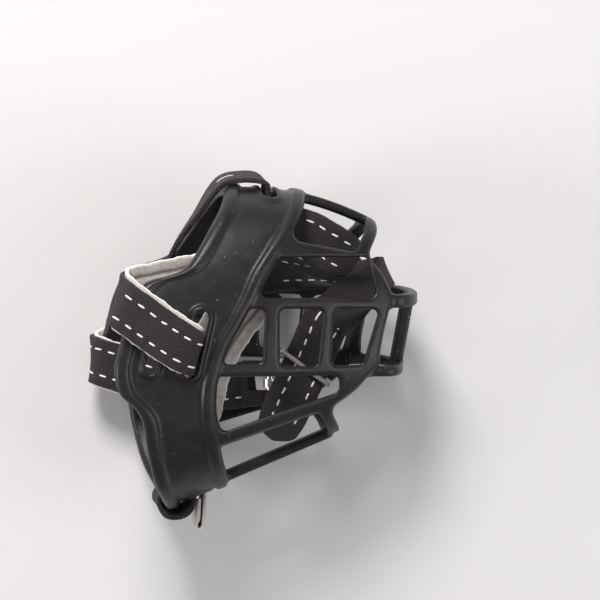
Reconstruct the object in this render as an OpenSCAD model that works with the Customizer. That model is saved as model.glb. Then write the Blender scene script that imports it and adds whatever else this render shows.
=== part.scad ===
// Basket muzzle lying on its left side: nose to +X, top of the snout to +Y, up is +Z.
// The basket is drawn upright in its own frame (x forward, y up the snout, z to its right side),
// mirror-symmetric about z = 0, and then laid down by place().

/* [Basket size] */
// half width of the rear band, mm
half_w = 34.5; // [30:0.5:40]
// wall thickness, mm
wall = 2.8; // [2:0.1:4]
// height of the raised rims above the wall, mm
rim_h = 1.2; // [0.5:0.1:2]
// half width of the top and bottom spines, mm
spine = 2.9; // [2:0.1:4]
// squareness of the cross-section
square = 2.4; // [2:0.1:3]

/* [How it lies] */
// lean towards the nose, degrees
lean = 7; // [0:0.5:12]
// roll that lifts the top edge, degrees
roll = 5; // [0:0.5:10]
// height of the middle plane above the floor, mm
mid_h = 36.2; // [34:0.1:42]
// shift of the whole part along X, mm
shift_x = 1.4; // [-5:0.1:5]
// shift of the whole part along Y, mm
shift_y = 0; // [-5:0.1:5]

/* [Straps] */
// width of the webbing, mm
web_w = 15; // [12:0.5:20]
// thickness of the webbing, mm
web_t = 1.6; // [1:0.1:2.5]
// thickness of the padded lining, mm
pad_t = 1.4; // [1:0.1:3]

/* [Buckle] */
// radius of the buckle wire, mm
wire = 1.2; // [0.8:0.1:2]
// running clearance of the pins, mm
play = 0.06; // [0.02:0.01:0.1]

/* [Hidden] */
rubber = [0.06, 0.055, 0.06];
black = [0.02, 0.018, 0.02];
grey = [0.55, 0.52, 0.49];
steel = [0.7, 0.68, 0.66];

// ---- section of the basket ----
function y_top(x) = 52.2 - 0.0062 * pow(x + 3.8, 2);
function y_bot(x) = -38 + 0.422 * x;
function half(x) = half_w - 0.05 * (x + 28) - 0.0018 * pow(x + 28, 2);
function spow(v, e) = sign(v) * pow(abs(v), e);
function ring_at(x, d, n) = let (yc = (y_top(x) + y_bot(x)) / 2, h = (y_top(x) - y_bot(x)) / 2)
    [for (i = [0 : n - 1]) let (t = 360 * i / n)
        [x, yc + (h + d) * spow(sin(t), 2 / square), (half(x) + d) * spow(cos(t), 2 / square)]];

module tube(pts, n) {
    m = len(pts) / n;
    side = [for (j = [0 : m - 2], i = [0 : n - 1]) let (k = (i + 1) % n)
        [j * n + i, j * n + k, (j + 1) * n + k, (j + 1) * n + i]];
    tris = [for (q = side) each [[q[0], q[1], q[2]], [q[0], q[2], q[3]]]];
    polyhedron(pts, concat([[for (i = [n - 1 : -1 : 0]) i]], tris,
        [[for (i = [0 : n - 1]) (m - 1) * n + i]]), convexity = 6);
}

module loft(d, n = 52) {
    xs = [-62, -52, -44, -36, -28, -20, -12, -4, 4, 12, 20, 28, 34, 39, 44, 49, 56];
    tube([for (x = xs) each ring_at(x, d, n)], n);
}

// A flat outline is slid and narrowed with height, so that it lands right on the leaning side.
module drop(z0 = 0, z1 = 50) {
    a = sin(lean);
    b = sin(roll);
    for (s = [1, -1]) scale([1, 1, s])
        multmatrix([[1, 0, -a, 0], [0, 1, b, 0], [0, 0, 1, 0], [0, 0, 0, 1]])
            translate([14.4, 16, z0]) linear_extrude(z1 - z0, scale = 1 - (z1 - z0) / 1100)
                translate([-14.4, -16]) children();
}

function unit(v) = v / norm(v);
function inward(p, r) = [for (i = [0 : len(p) - 1]) let (
        a = p[(i + len(p) - 1) % len(p)], b = p[i], c = p[(i + 1) % len(p)],
        u = unit(b - a), v = unit(c - b), n1 = [u[1], -u[0]], n2 = [v[1], -v[0]],
        k = 1 + n1 * n2) b + r * (n1 + n2) / k];
module window(p, r) hull() for (q = inward(p, r)) translate(q) circle(r, $fn = 16);

function cr(a, b, c, d, u) = 0.5 * ((2 * b) + (c - a) * u + (2 * a - 5 * b + 4 * c - d) * u * u
    + (3 * b - a - 3 * c + d) * u * u * u);
function smooth(p, m) = let (n = len(p)) [for (i = [0 : n - 2], j = [0 : m - 1])
    cr(p[max(i - 1, 0)], p[i], p[i + 1], p[min(i + 2, n - 1)], j / m), p[n - 1]];

// ---- outlines, seen from the right side, clockwise for windows ----
rear_edge = [[-9.4, 56], [-10, 51], [-11.6, 45], [-15, 38.3], [-19.4, 30.2], [-22.6, 26],
    [-28, 23.6], [-34, 22], [-38, 18.5], [-41, 11], [-43.2, 1], [-44.8, -6.5], [-43, -14],
    [-38.2, -18.6], [-35.6, -23.5], [-34.2, -32], [-31.6, -43], [-28.4, -49.6], [-26, -56]];
ridge_line = [[11.4, 54], [11.2, 50], [10.4, 45], [7.6, 39], [3.4, 32.2], [-1.2, 24.6],
    [-4.4, 17], [-9, 8], [-13.4, 0], [-16.2, -9.6], [-17, -18.6], [-15.8, -30], [-12.6, -42.5],
    [-11, -52]];
front_edge = [[36, 56], [38.4, 42], [38.9, 38.2], [38, 35], [36.7, 31.6], [37.4, 28.6],
    [40.2, 25.4], [42.5, 21.4], [43.8, 17.6], [43.3, 13.4], [41.6, 6], [40.4, -1],
    [40, -5], [36.6, -8.6], [33.2, -12.4], [29, -15.8], [26, -18], [25.4, -20.6],
    [26.6, -23.2], [27.4, -26], [25, -29], [22, -52]];
W1 = [[15.2, 64], [12.2, 36.6], [13.6, 34.9], [31.9, 31.4], [35.1, 38.6], [33.6, 64]];
W2 = [[0.2, 16.8], [7.4, 29.6], [35.8, 29.9], [38.8, 18.8], [37.6, 16.7]];
W3a = [[-3.4, 13.3], [3.1, 13.2], [2.4, -4.2], [-9.6, -4.6], [-10.3, -2.6]];
W3b = [[7.8, 13.2], [21.9, 13.2], [20.2, -5.1], [8, -5.2]];
W3c = [[25.2, 13.2], [39.9, 13.1], [34.7, -4.7], [24.6, -5.2]];
W4 = [[-13, -8.6], [27.2, -8.2], [27.3, -13.4], [4.5, -21.2], [-10.4, -26.5], [-12.4, -20]];
W5 = [[-11.2, -31.4], [-9.4, -30.6], [20.8, -20.2], [23.9, -26.4], [23, -60], [-7.4, -60]];
module windows() {
    drop(spine - 0.04) { window(rev(W1), 2); }
    drop(spine - 0.04) { window(rev(W2), 2); }
    drop(4) { window(rev(W3a), 1.8); }
    drop(4) { window(rev(W3b), 1.8); }
    drop(4) { window(rev(W3c), 1.8); }
    drop(4) { window(rev(W4), 2.2); }
    drop(spine - 0.04) { window(rev(W5), 1.8); }
}
function rev(p) = let (n = len(p), s = [for (i = [0 : n - 1]) let (a = p[i], b = p[(i + 1) % n])
    a[0] * b[1] - b[0] * a[1]]) sum(s) > 0 ? [for (i = [n - 1 : -1 : 0]) p[i]] : p;
function sum(v, i = 0) = i < len(v) ? v[i] + sum(v, i + 1) : 0;

module strip(line, w0, w1) polygon(concat([for (p = smooth(line, 3)) p + [w0, 0]],
    [for (p = smooth([for (i = [len(line) - 1 : -1 : 0]) line[i]], 3)) p + [w1, 0]]));
module behind() polygon(concat(smooth(rear_edge, 3),
    [for (p = smooth([for (i = [len(ridge_line) - 1 : -1 : 0]) ridge_line[i]], 3)) p + [4.4, 0]]));
module ahead() polygon(concat([for (p = smooth(ridge_line, 3)) p + [4.4, 0]],
    smooth([for (i = [len(front_edge) - 1 : -1 : 0]) front_edge[i]], 3)));

// slots: cheek slots seen from the side, centre slots seen along y
slot_f = [-19, 1.8];
slot_r = [-31.6, 2.7];
slot_tilt = -12;
slot_l = 17.6;
top_slot = 3;
low_slot = -18.2;
module long_hole(c, w) translate(c) rotate(slot_tilt) hull()
    for (s = [-1, 1]) translate([0, s * slot_l / 2]) circle(w, $fn = 20);
module centre_hole(x, w, l, up) translate([x, 0, 0]) rotate([up ? -90 : 90, 0, 0])
    linear_extrude(60) hull() for (s = [-1, 1]) translate([0, s * (l / 2 - w)]) circle(w, $fn = 20);

// ---- the moulding ----
module place() translate([shift_x, shift_y, mid_h]) rotate([roll, lean, 0]) children();

module rear_band() color(rubber) place() {
    difference() {
        union() {
            intersection() {
                loft(0);
                drop() behind();
            }
            intersection() {
                loft(rim_h);
                drop() union() {
                    intersection() {
                        strip(rear_edge, -1, 4.8);
                        behind();
                    }
                    strip(ridge_line, 0, 4.4);
                    long_hole(slot_f, 3.8);
                    long_hole(slot_r, 3.4);
                }
            }
            intersection() {
                loft(0.6);
                union() {
                    centre_hole(top_slot, 4, 31.5, true);
                    centre_hole(low_slot, 4.6, 25, false);
                }
            }
        }
        loft(-wall);
        drop(12) long_hole(slot_f, 2.3);
        drop(12) long_hole(slot_r, 1.8);
        centre_hole(top_slot, 2.2, 27, true);
        centre_hole(low_slot, 2.9, 21, false);
    }
}

module cage() difference() {
    intersection() {
        loft(0.2);
        drop() ahead();
    }
    loft(0.2 - wall);
    windows();
}
module right_cage() color(rubber) place() intersection() {
    cage();
    translate([-80, -80, spine]) cube([160, 160, 60]);
}
module left_cage() color(rubber) place() intersection() {
    cage();
    translate([-80, -80, -60 - spine]) cube([160, 160, 60]);
}
module top_spine() color(rubber) place() intersection() {
    cage();
    translate([-80, 0, -spine]) cube([160, 80, 2 * spine]);
}
module bottom_spine() color(rubber) place() intersection() {
    cage();
    translate([-80, -80, -spine]) cube([160, 80, 2 * spine]);
}

// horizontal band round the nose, seen along y: x forward, z across
function nose_pt(x0, w, l, a) = [x0 + l * spow(cos(a), 0.9), w * spow(sin(a), 0.9)];
module nose_u(x0, w, l, t, y0, h) for (i = [-6 : 5]) hull() for (a = [15 * i, 15 * (i + 1)])
    for (q = [nose_pt(x0, w, l, a), nose_pt(x0, w - t, l - t, a)])
        translate([q[0], y0, q[1]]) rotate([90, 0, 0]) cylinder(r = 0.05, h = h, $fn = 4);
module nose_guard() color(rubber) place() {
    nose_u(42.2, 22.2, 9.4, 3.2, 19.6, 4.2);
    nose_u(40, 20.6, 7.2, 2.8, -3.2, 3.3);
    hull() {
        translate([47, 15.5, -2.1]) cube([4.4, 4, 4.2]);
        translate([43.4, -4.5, -2.1]) cube([3.6, 1, 4.2]);
    }
}

// ---- straps: a band swept along hand-set points [x, y, z, across x, y, z, width share] ----
function pos(p) = [p[0], p[1], p[2]];
function dir(p) = [p[3], p[4], p[5]];
module band(path, w, t0, t1, from = 0, to = 99, m = 5) {
    q = smooth(path, m);
    n = len(q);
    f = [for (i = [from * m : min(to * m, n - 1)]) let (
            t = unit(pos(q[min(i + 1, n - 1)]) - pos(q[max(i - 1, 0)])),
            a = unit(dir(q[i]) - (dir(q[i]) * t) * t), k = unit(cross(t, a)), h = w / 2 * q[i][6])
        each [pos(q[i]) - a * h + k * t0, pos(q[i]) - a * h + k * t1,
            pos(q[i]) + a * h + k * t1, pos(q[i]) + a * h + k * t0]];
    translate([shift_x, shift_y, 0]) tube(f, 4);
}

right_neck = [
    [-9.5, -6.4, 63.6, 0.3, 0.95, 0, 0.93], [-14.4, -3.8, 64, 0.28, 0.96, 0, 0.93],
    [-17.2, -1.6, 65.6, 0.23, 0.97, 0, 0.93], [-18.4, -0.4, 69, 0.21, 0.98, 0, 0.93],
    [-18.2, -0.3, 72.7, 0.21, 0.98, 0, 0.93], [-18.6, -0.2, 76.2, 0.42, 0.9, 0, 0.95],
    [-22, 1.6, 78.2, 0.58, 0.81, 0, 0.98], [-29, 6.2, 78.6, 0.61, 0.79, 0, 0.98],
    [-34.8, 10.5, 78.7, 0.61, 0.79, 0, 0.98], [-39.2, 13.6, 77.6, 0.5, 0.87, 0, 0.98],
    [-41.4, 15.8, 72.4, 0.32, 0.95, 0, 1], [-40.2, 17.2, 67, 0.16, 0.99, 0, 1],
    [-36.6, 18, 63.2, -0.12, 0.99, 0, 1], [-24, 20.6, 59.8, -0.22, 0.97, 0, 1],
    [-9, 23.6, 53.6, -0.2, 0.97, 0.1, 1], [6, 25.6, 46.6, -0.05, 0.85, -0.5, 1],
    [18, 24.8, 40.6, 0.05, 0.5, -0.86, 1], [29, 23.4, 35, 0.05, 0.45, -0.88, 0.95],
    [37, 24.2, 31.8, -0.05, 0.84, -0.5, 0.82], [41.4, 24.2, 37, -0.25, 0.96, -0.12, 0.62],
    [38.6, 22.4, 43.8, -0.46, 0.88, -0.1, 0.72], [31, 16.8, 49.8, -0.8, 0.58, 0, 0.95],
    [26, 11.8, 51.6, -0.9, 0.45, 0, 1], [22.7, 9.4, 51.5, -0.905, 0.425, 0, 1],
    [19.4, 2.2, 50.2, -0.905, 0.425, 0, 1], [16.2, -5, 48.9, -0.905, 0.425, 0, 1],
    [13, -12.2, 47.6, -0.905, 0.425, 0, 1], [9.7, -19.4, 46.3, -0.905, 0.425, 0, 1],
    [6.9, -25.6, 44.6, -0.905, 0.425, 0, 0.85], [5.9, -28, 43.8, -0.905, 0.425, 0, 0.45]];
module right_neck_webbing() color(black) band(right_neck, web_w, -web_t, 0);
module right_neck_lining() color(grey) band(right_neck, web_w + 1.6, 0.2, pad_t, 6, 14);

left_neck = [
    [-15, 10.2, 12, 0.2, 0.98, 0, 0.93], [-21, 9, 11.6, 0.2, 0.98, 0, 0.93],
    [-25.2, 8.6, 10, 0.2, 0.98, 0, 0.93], [-27.1, 8.2, 7, 0.2, 0.98, 0, 0.92],
    [-27.9, 7.9, 4.4, 0.2, 0.98, 0, 0.92], [-30.8, 6.3, 2.8, -0.1, 0.99, 0, 0.98],
    [-37, 3.6, 2, -0.37, 0.93, 0, 1], [-45, 0.3, 2.1, -0.37, 0.93, 0, 1],
    [-50.8, -2, 3.4, -0.2, 0.98, 0, 1], [-52.6, -3, 8.4, 0, 1, 0, 1],
    [-50.8, -4.2, 13.6, 0.2, 0.98, 0, 1], [-44, -6.4, 15.8, 0.38, 0.92, 0, 1],
    [-30, -11.2, 17, 0.3, 0.95, 0, 1], [-16, -12.6, 16.9, 0.05, 1, 0, 1],
    [-5, -11.6, 16.8, 0, 1, 0, 1], [0, -11, 16.8, 0, 1, 0, 1]];
module left_neck_webbing() color(black) band(left_neck, web_w, 0, web_t);
module left_neck_lining() color(grey) band(left_neck, web_w + 1.6, -pad_t, -0.04, 6, 13);

forehead = [
    [31.6, 27.5, 43, 0.5, 0.86, 0, 0.9], [26, 31.4, 46, 0.56, 0.83, 0, 1],
    [17, 36.8, 46.2, 0.56, 0.82, 0.1, 1], [10.6, 40.4, 44, 0.45, 0.62, 0.6, 0.85],
    [6.4, 43, 41.6, 0.25, 0.2, 0.94, 0.9], [4, 46.4, 40.4, 0.14, -0.06, 0.99, 1],
    [3.5, 50.6, 40.3, 0.12, -0.09, 0.99, 1], [3.2, 53.2, 40.4, 0.12, -0.12, 0.98, 1],
    [0.2, 55, 40.8, 0.12, -0.2, 0.97, 1], [-4.6, 55.2, 41.2, 0.12, -0.19, 0.97, 1],
    [-9.8, 54.2, 41.4, 0.12, -0.18, 0.97, 1], [-13.6, 50.6, 41.3, 0.12, -0.15, 0.98, 1],
    [-18.6, 43, 41, 0.1, -0.05, 0.99, 1], [-25, 33.6, 40.5, 0.05, 0, 1, 1],
    [-27.6, 26, 39.6, 0, 0, 1, 1], [-26, 18, 38.4, 0, 0, 1, 1], [-20, 11, 37, 0.1, 0.1, 0.98, 1],
    [-12, 7, 35, 0.2, 0.3, 0.93, 1]];
module forehead_strap() color(black) band(forehead, web_w, -web_t / 2, web_t / 2);

throat = [
    [-23, -41.4, 36.2, 0.12, -0.08, 0.99, 1], [-27.4, -43, 36.6, 0.12, -0.08, 0.99, 1],
    [-31.4, -45.2, 36.8, 0.14, -0.1, 0.99, 1], [-31.8, -48.8, 36.8, 0.17, -0.14, 0.97, 1],
    [-29.2, -51.9, 36.4, 0.17, -0.15, 0.97, 1], [-25.4, -52.6, 36, 0.17, -0.15, 0.97, 1],
    [-21.8, -51.2, 35.4, 0.15, -0.12, 0.98, 1], [-19.7, -47.6, 34.8, 0.12, -0.08, 0.99, 1],
    [-19.4, -42, 34.8, 0.12, -0.06, 0.99, 1], [-19.4, -36, 36.4, -0.2, -0.06, 0.96, 1],
    [-19, -29, 39.4, -0.6, -0.1, 0.75, 1], [-18, -21, 42.6, -0.88, 0, 0.4, 1],
    [-16.4, -12, 45, -0.98, 0.15, 0.1, 1], [-13.6, -2.6, 46, -0.9, 0.4, 0, 1],
    [-7.4, 8, 44.8, -0.84, 0.54, 0, 1], [-1.4, 15.4, 41, -0.82, 0.58, 0, 1],
    [4.4, 21, 35, -0.8, 0.6, 0, 0.8]];
module throat_webbing() color(black) band(throat, web_w, -web_t, 0);
low_fold = [
    [-18.9, -47.6, 35, 0.12, -0.08, 0.99, 1], [-19.1, -51.4, 35.3, 0.12, -0.08, 0.99, 1],
    [-19.3, -55, 35.6, 0.12, -0.08, 0.99, 1], [-18.9, -56.3, 35.7, 0.12, -0.08, 0.99, 1],
    [-18, -56.8, 35.7, 0.12, -0.08, 0.99, 1], [-17.1, -56.3, 35.7, 0.12, -0.08, 0.99, 1],
    [-16.7, -55, 35.6, 0.12, -0.08, 0.99, 1], [-16.4, -51, 35.3, 0.12, -0.08, 0.99, 1],
    [-16.2, -46, 34.8, 0.12, -0.08, 0.99, 1], [-16.3, -41.6, 34.6, 0.12, -0.06, 0.99, 1]];
module throat_lining() color(grey) {
    band(low_fold, web_w + 0.4, -1, 0);
    band(throat, web_w + 1, 0.1, pad_t, 10, 15);
}

// ---- buckle at the end of the left neck strap; its bar runs along y ----
bar_x = 4.6;
bar_y = -11;
bar_z = 18.6;
frame_w = 19.4;
frame_l = 13;
module at_bar() translate([bar_x + shift_x, bar_y + shift_y, bar_z]) children();
module rod(a, b, r) translate(a) {
    v = b - a;
    rotate([0, acos(v[2] / norm(v)), atan2(v[1], v[0])]) cylinder(r = r, h = norm(v), $fn = 48);
}
module left_neck_end() color(black) at_bar() difference() {
    union() {
        rotate([90, 0, 0]) cylinder(r = wire + play + 1.2, h = web_w, center = true, $fn = 48);
        translate([-9, -web_w / 2, -0.2]) cube([9, web_w, 1.6]);
    }
    rotate([90, 0, 0]) cylinder(r = wire + play, h = web_w + 2, center = true, $fn = 48);
    translate([-7, -2.2, -4]) cube([12, 4.4, 8]);
}
module buckle_frame() color(steel) at_bar() {
    w = frame_w / 2;
    rod([0, -w, 0], [0, w, 0], wire);
    rod([frame_l, -w, 0], [frame_l, w, 0], wire);
    for (s = [-1, 1]) {
        rod([0, s * w, 0], [frame_l, s * w, 0], wire);
        translate([0, s * w, 0]) sphere(wire, $fn = 48);
        translate([frame_l, s * w, 0]) sphere(wire, $fn = 48);
    }
}
module buckle_prong() color(steel) at_bar() {
    difference() {
        union() {
            rotate([90, 0, 0]) cylinder(r = wire + play + 0.9, h = 2.6, center = true, $fn = 48);
            rod([0.2, 0, wire + play + 0.2], [frame_l + 1.4, 0, wire + 1.3], 0.9);
        }
        rotate([90, 0, 0]) cylinder(r = wire + play, h = 4, center = true, $fn = 48);
    }
}

// ---- keeper: a wire loop round the straight run of the right neck strap ----
keep_p = [16.2, -5, 49.7];
module keeper() color(steel) translate(keep_p + [shift_x, shift_y, 0])
    rotate([0, 0, -114.5]) rotate([0, 9, 0]) rotate([0, 0, -12]) {
        a = web_w / 2 + 1.42;
        r = 0.8;
        for (z = [-2.1, 2.1]) rod([0, -a, z], [0, a, z], r);
        for (s = [-1, 1]) {
            rod([0, s * a, -2.1], [0, s * a, 2.1], r);
            for (z = [-2.1, 2.1]) translate([0, s * a, z]) sphere(r, $fn = 48);
        }
    }

rear_band();
right_cage();
left_cage();
top_spine();
bottom_spine();
nose_guard();
right_neck_webbing();
right_neck_lining();
left_neck_webbing();
left_neck_lining();
left_neck_end();
forehead_strap();
throat_webbing();
throat_lining();
buckle_frame();
buckle_prong();
keeper();
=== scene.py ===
"""Looks of the basket muzzle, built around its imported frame. Lengths in mm are scaled by MM."""
import math
import random

import bpy
import numpy as np
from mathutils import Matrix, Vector


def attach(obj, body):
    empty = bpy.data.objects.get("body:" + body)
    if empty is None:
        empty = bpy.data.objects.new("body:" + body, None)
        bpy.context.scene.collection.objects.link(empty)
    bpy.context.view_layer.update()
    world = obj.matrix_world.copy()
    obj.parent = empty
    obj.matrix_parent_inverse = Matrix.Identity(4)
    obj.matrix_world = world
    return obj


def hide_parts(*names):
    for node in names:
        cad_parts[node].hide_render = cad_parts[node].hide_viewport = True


MM = 0.001
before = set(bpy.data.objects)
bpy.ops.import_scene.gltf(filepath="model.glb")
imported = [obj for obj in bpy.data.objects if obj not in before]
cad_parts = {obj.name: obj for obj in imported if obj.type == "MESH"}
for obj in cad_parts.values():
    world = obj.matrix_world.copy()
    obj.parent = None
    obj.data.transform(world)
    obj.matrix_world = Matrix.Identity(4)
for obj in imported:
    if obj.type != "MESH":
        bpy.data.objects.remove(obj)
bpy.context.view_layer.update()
rng = random.Random(7)

# The same numbers as the frame's own source, in mm.
HALF_W, WALL, RIM, SPINE, SQ = 34.5, 2.8, 1.2, 2.9, 2.4
LEAN, ROLL, MID_H = math.radians(7), math.radians(5), 36.2
SHIFT = (1.4, 0.0)
WEB_W, WEB_T, PAD_T = 15.0, 1.6, 1.4
# The upright tube: its top line, its bottom line, and the slope and bend of its sides along x.
TOP_H, TOP_BEND, TOP_X = 52.2, 0.0062, -3.8
LOW_H, LOW_RISE = -38, 0.422
SIDE_SLOPE, SIDE_BEND, SIDE_X = 0.05, 0.0018, -28
# The flat outlines are drawn as seen from straight above this point, from this height over MID_H.
EYE_X, EYE_Y, EYE_H = 14.4, 16, 1100

# How finely the looks are built, in mm.
BASKET_STEP = 0.61
OUTLINE_GRID = 0.25
STRAP_STEP = 0.6

# Sewing: how far across the two stitch rows run, in mm, and where the seams of the padding lie, as a share
# of its half width.
ROWS, SEAM = (-4.0, 4.0), 0.53


# ---------------------------------------------------------------- materials
def new_mat(name, rough, metallic=0.0, spec=0.5):
    """A material with its node tree and its shader."""
    m = bpy.data.materials.new(name)
    m.use_nodes = True
    nt = m.node_tree
    b = nt.nodes["Principled BSDF"]
    b.inputs["Roughness"].default_value = rough
    b.inputs["Metallic"].default_value = metallic
    b.inputs["Specular IOR Level"].default_value = spec
    return m, nt, b


def node(nt, kind, **inputs):
    """A node with its inputs set by name, with _ for a space."""
    n = nt.nodes.new(kind)
    for k, v in inputs.items():
        n.inputs[k.replace("_", " ")].default_value = v
    return n


def ramp(nt, stops):
    """Colour ramp through (place, grey or colour) stops."""
    r = nt.nodes.new("ShaderNodeValToRGB")
    e = r.color_ramp.elements
    while len(e) < len(stops):
        e.new(0.5)
    for el, (p, c) in zip(e, stops):
        el.position = p
        el.color = (c, c, c, 1) if isinstance(c, (int, float)) else (*c, 1)
    return r


def noise(nt, scale, detail=4, rough=0.55):
    """Noise in the object's own metres."""
    tc = nt.nodes.new("ShaderNodeTexCoord")
    n = node(nt, "ShaderNodeTexNoise", Scale=scale, Detail=detail, Roughness=rough)
    nt.links.new(tc.outputs["Object"], n.inputs["Vector"])
    return n


def mix(nt, a, b, f):
    """Colour a blended toward b by the share f; each may be a value or a socket."""
    m = nt.nodes.new("ShaderNodeMix")
    m.data_type = "RGBA"
    for sock, v in ((m.inputs[0], f), (m.inputs[6], a), (m.inputs[7], b)):
        if hasattr(v, "links"):
            nt.links.new(v, sock)
        elif isinstance(v, (int, float)):
            sock.default_value = v if sock is m.inputs[0] else (v, v, v, 1)
        else:
            sock.default_value = (*v, 1)
    return m.outputs[2]


def bump(nt, height, strength, dist, below=None):
    """Normal of a bump of depth dist in m, laid over the normal below."""
    b = node(nt, "ShaderNodeBump", Strength=strength, Distance=dist)
    nt.links.new(height, b.inputs["Height"])
    if below is not None:
        nt.links.new(below, b.inputs["Normal"])
    return b.outputs["Normal"]


def math_node(nt, op, a, b=None, c=None):
    m = nt.nodes.new("ShaderNodeMath")
    m.operation = op
    for i, v in enumerate((a, b, c)):
        if v is None:
            continue
        if hasattr(v, "links"):
            nt.links.new(v, m.inputs[i])
        else:
            m.inputs[i].default_value = v
    return m.outputs[0]


def rubber_mat():
    """Satin black rubber with a thin pale film and specks of dust."""
    m, nt, b = new_mat("rubber_satin", 0.5, spec=0.34)
    big = noise(nt, 45, 3)
    tone = ramp(nt, [(0.3, (0.0075, 0.006, 0.007)), (0.7, (0.0135, 0.011, 0.0128))])
    nt.links.new(big.outputs["Fac"], tone.inputs["Fac"])
    dust = noise(nt, 900, 2, 0.4)
    specks = ramp(nt, [(0.72, 0.0), (0.78, 1.0)])
    nt.links.new(dust.outputs["Fac"], specks.inputs["Fac"])
    film = noise(nt, 160, 5, 0.7)
    haze = ramp(nt, [(0.45, 0.0), (0.75, 0.2)])
    nt.links.new(film.outputs["Fac"], haze.inputs["Fac"])
    c = mix(nt, tone.outputs["Color"], (0.04, 0.035, 0.038), haze.outputs["Color"])
    c = mix(nt, c, (0.26, 0.24, 0.24), math_node(nt, "MULTIPLY", specks.outputs["Color"], 0.55))
    nt.links.new(c, b.inputs["Base Color"])
    rr = ramp(nt, [(0.3, 0.32), (0.75, 0.47)])
    nt.links.new(film.outputs["Fac"], rr.inputs["Fac"])
    nt.links.new(rr.outputs["Color"], b.inputs["Roughness"])
    fine = noise(nt, 2600, 3, 0.6)
    n1 = bump(nt, fine.outputs["Fac"], 0.16, 0.00012)
    soft = noise(nt, 120, 2, 0.5)
    nt.links.new(bump(nt, soft.outputs["Fac"], 0.12, 0.0012, n1), b.inputs["Normal"])
    return m


def web_mat():
    """Plain-woven tape: raised weft ribs across the width, fine warp threads along it. UV is in mm. The colour
    is painted lighter on the raised thread crests and darker in the hollows between them, as painted highlight
    and painted shade.
    """
    # dark is the painted shade in the hollows of the weave, light the painted highlight on the thread crests
    dark, light = (0.003, 0.0026, 0.003), (0.05, 0.041, 0.047)
    rib_pitch, warp_pitch = 0.9, 0.62
    m, nt, b = new_mat("webbing_black", 0.72, spec=0.3)
    uv = nt.nodes.new("ShaderNodeUVMap")
    sep = nt.nodes.new("ShaderNodeSeparateXYZ")
    nt.links.new(uv.outputs["UV"], sep.inputs["Vector"])
    u, v = sep.outputs["X"], sep.outputs["Y"]
    wob = noise(nt, 260, 2, 0.5)
    u2 = math_node(nt, "MULTIPLY_ADD", wob.outputs["Fac"], 0.5, u)
    warp = math_node(nt, "MULTIPLY", v, 2 * math.pi / warp_pitch)
    cell = math_node(nt, "MULTIPLY", math_node(nt, "SIGN", math_node(nt, "SINE", warp)), math.pi / 2)
    rib = math_node(nt, "MULTIPLY", u2, 2 * math.pi / rib_pitch)
    weft = math_node(nt, "SINE", math_node(nt, "ADD", rib, cell))
    thread = math_node(nt, "ABSOLUTE", math_node(nt, "SINE", warp))
    h = math_node(nt, "MULTIPLY_ADD", weft, 0.5, math_node(nt, "MULTIPLY", thread, 0.6))
    fuzz = noise(nt, 3200, 4, 0.7)
    h2 = math_node(nt, "MULTIPLY_ADD", fuzz.outputs["Fac"], 0.7, h)
    # how much painted highlight each point takes, from the height of the weave: crests lighter, hollows darker
    painted_crest_light = ramp(nt, [(0.3, 0.0), (0.95, 1.0)])
    nt.links.new(math_node(nt, "MULTIPLY_ADD", h, 0.45, 0.4), painted_crest_light.inputs["Fac"])
    c = mix(nt, dark, light, painted_crest_light.outputs["Color"])
    worn = ramp(nt, [(0.46, 0.0), (0.74, 0.45)])
    nt.links.new(noise(nt, 90, 4, 0.6).outputs["Fac"], worn.inputs["Fac"])
    c = mix(nt, c, (0.046, 0.037, 0.043), worn.outputs["Color"])
    lint = ramp(nt, [(0.66, 0.0), (0.76, 0.5)])
    nt.links.new(noise(nt, 1500, 2, 0.5).outputs["Fac"], lint.inputs["Fac"])
    c = mix(nt, c, (0.14, 0.12, 0.12), lint.outputs["Color"])
    nt.links.new(c, b.inputs["Base Color"])
    nt.links.new(bump(nt, h2, 0.9, 0.0003), b.inputs["Normal"])
    b.inputs["Sheen Weight"].default_value = 0.12
    b.inputs["Sheen Roughness"].default_value = 0.5
    b.inputs["Sheen Tint"].default_value = (0.6, 0.5, 0.55, 1)
    return m


def felt_mat():
    """Knitted face of the padding. The edge attribute is 1 on its pale cut edge and -1 in the dark seam."""
    m, nt, b = new_mat("lining_felt", 0.9, spec=0.15)
    attr = nt.nodes.new("ShaderNodeAttribute")
    attr.attribute_name = "edge"
    big = noise(nt, 420, 5, 0.65)
    tone = ramp(nt, [(0.3, (0.33, 0.295, 0.275)), (0.7, (0.52, 0.48, 0.45))])
    nt.links.new(big.outputs["Fac"], tone.inputs["Fac"])
    c = mix(nt, tone.outputs["Color"], (0.96, 0.94, 0.91), attr.outputs["Fac"])
    c = mix(nt, c, (0.1, 0.085, 0.08), math_node(nt, "MULTIPLY", attr.outputs["Fac"], -0.8))
    nt.links.new(c, b.inputs["Base Color"])
    f1 = noise(nt, 2400, 5, 0.75)
    n1 = bump(nt, f1.outputs["Fac"], 0.7, 0.0004)
    nt.links.new(bump(nt, big.outputs["Fac"], 0.4, 0.0006, n1), b.inputs["Normal"])
    b.inputs["Sheen Weight"].default_value = 0.5
    b.inputs["Sheen Roughness"].default_value = 0.6
    return m


def thread_mat():
    m, nt, b = new_mat("thread_white", 0.65, spec=0.35)
    n = noise(nt, 3000, 2)
    tone = ramp(nt, [(0.3, (0.62, 0.6, 0.58)), (0.7, (0.9, 0.88, 0.86))])
    nt.links.new(n.outputs["Fac"], tone.inputs["Fac"])
    nt.links.new(tone.outputs["Color"], b.inputs["Base Color"])
    nt.links.new(bump(nt, n.outputs["Fac"], 0.4, 0.0001), b.inputs["Normal"])
    return m


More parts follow.
